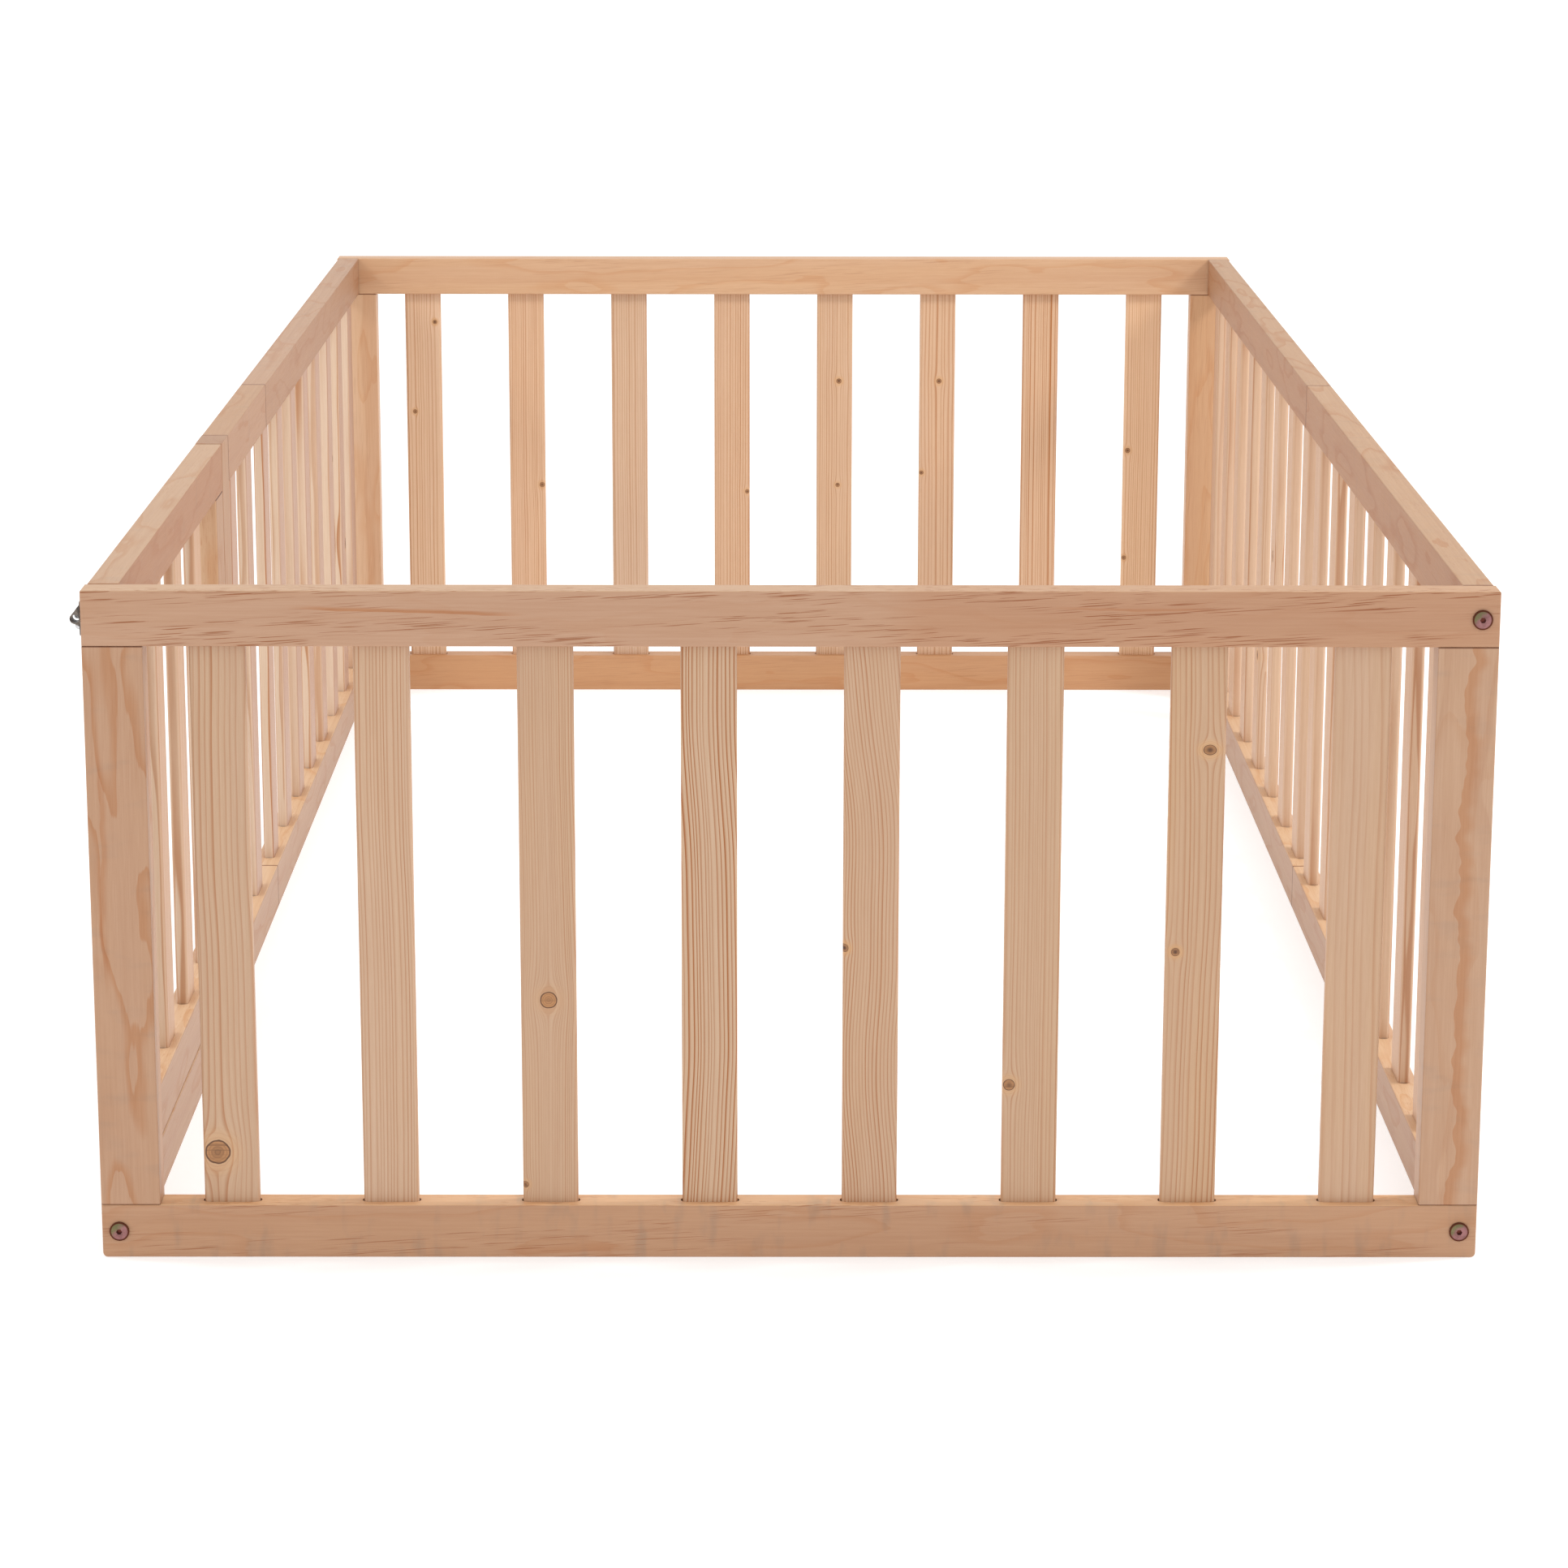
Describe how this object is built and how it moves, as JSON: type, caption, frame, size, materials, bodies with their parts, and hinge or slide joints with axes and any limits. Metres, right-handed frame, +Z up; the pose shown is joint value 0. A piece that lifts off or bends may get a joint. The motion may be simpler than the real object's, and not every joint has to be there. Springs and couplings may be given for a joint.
{
  "type": "playpen",
  "caption": "Slatted wooden playpen, open at the top and bottom, with posts at the ends, paired side rails and one outward-opening gate held by a barrel latch.",
  "frame": {"origin": "on the floor, under the middle of the wooden frame", "axes": "+X to the right, -Y out of the front panel, +Z up; the gate is on the -X side, next to the front"},
  "size_m": [1.0645, 1.9746, 0.52],
  "materials": {
    "pine_rail": "planed, unvarnished pine, tan to pink",
    "pine_slat": "planed, unvarnished pine, straw coloured, with growth lines and knots",
    "beech_dowel": "raw fluteless dowel",
    "zinc_bolt": "yellow passivated zinc, slightly iridescent",
    "zinc_steel": "bright zinc plate",
    "latch_steel": "bright nickel plate"
  },
  "bodies": {
    "pen": {"front_top_rail": "pine_rail", "front_bottom_rail": "pine_rail", "front_left_post": "pine_rail", "front_right_post": "pine_rail", "front_slat_1": "pine_slat", "front_slat_2": "pine_slat", "front_slat_3": "pine_slat", "front_slat_4": "pine_slat", "front_slat_5": "pine_slat", "front_slat_6": "pine_slat", "front_slat_7": "pine_slat", "front_slat_8": "pine_slat", "back_top_rail": "pine_rail", "back_bottom_rail": "pine_rail", "back_left_post": "pine_rail", "back_right_post": "pine_rail", "back_slats": "pine_slat", "right_front_top_rail": "pine_rail", "right_front_bottom_rail": "pine_rail", "right_front_slats": "pine_slat", "right_rear_top_rail": "pine_rail", "right_rear_bottom_rail": "pine_rail", "right_rear_slats": "pine_slat", "left_rear_top_rail": "pine_rail", "left_rear_bottom_rail": "pine_rail", "left_rear_slats": "pine_slat", "left_sill": "pine_rail", "hinge_post": "pine_rail", "left_fixed_top_rail": "pine_rail", "left_fixed_slats": "pine_slat", "frame_bolts": "zinc_bolt", "insert_nuts": "zinc_steel", "frame_dowels": "beech_dowel", "joining_plates": "zinc_steel", "plate_screws": "zinc_steel", "post_hinge_leaves": "zinc_steel", "hinge_pins": "zinc_steel", "post_hinge_screws": "zinc_steel", "latch_keeper": "latch_steel", "keeper_screws": "latch_steel"},
    "gate": {"gate_top_rail": "pine_rail", "gate_bottom_rail": "pine_rail", "gate_latch_stile": "pine_rail", "gate_hinge_stile": "pine_rail", "gate_slat_1": "pine_slat", "gate_slat_2": "pine_slat", "gate_slat_3": "pine_slat", "gate_slat_4": "pine_slat", "gate_dowels": "beech_dowel", "gate_hinge_leaves": "zinc_steel", "gate_hinge_screws": "zinc_steel", "latch_plate": "latch_steel", "latch_screws": "latch_steel"},
    "latch_bolt": {"latch_rod": "latch_steel"}
  },
  "joints": [
    {"name": "gate_hinge", "type": "hinge", "parent": "pen", "child": "gate", "pos_m": [-0.5269, -0.33925, 0.28], "axis": [0, 0, -1], "range_deg": [0, 170]},
    {"name": "latch_slide", "type": "slide", "parent": "gate", "child": "latch_bolt", "axis": [0, -1, 0], "range_m": [-0.012, 0.011]}
  ]
}
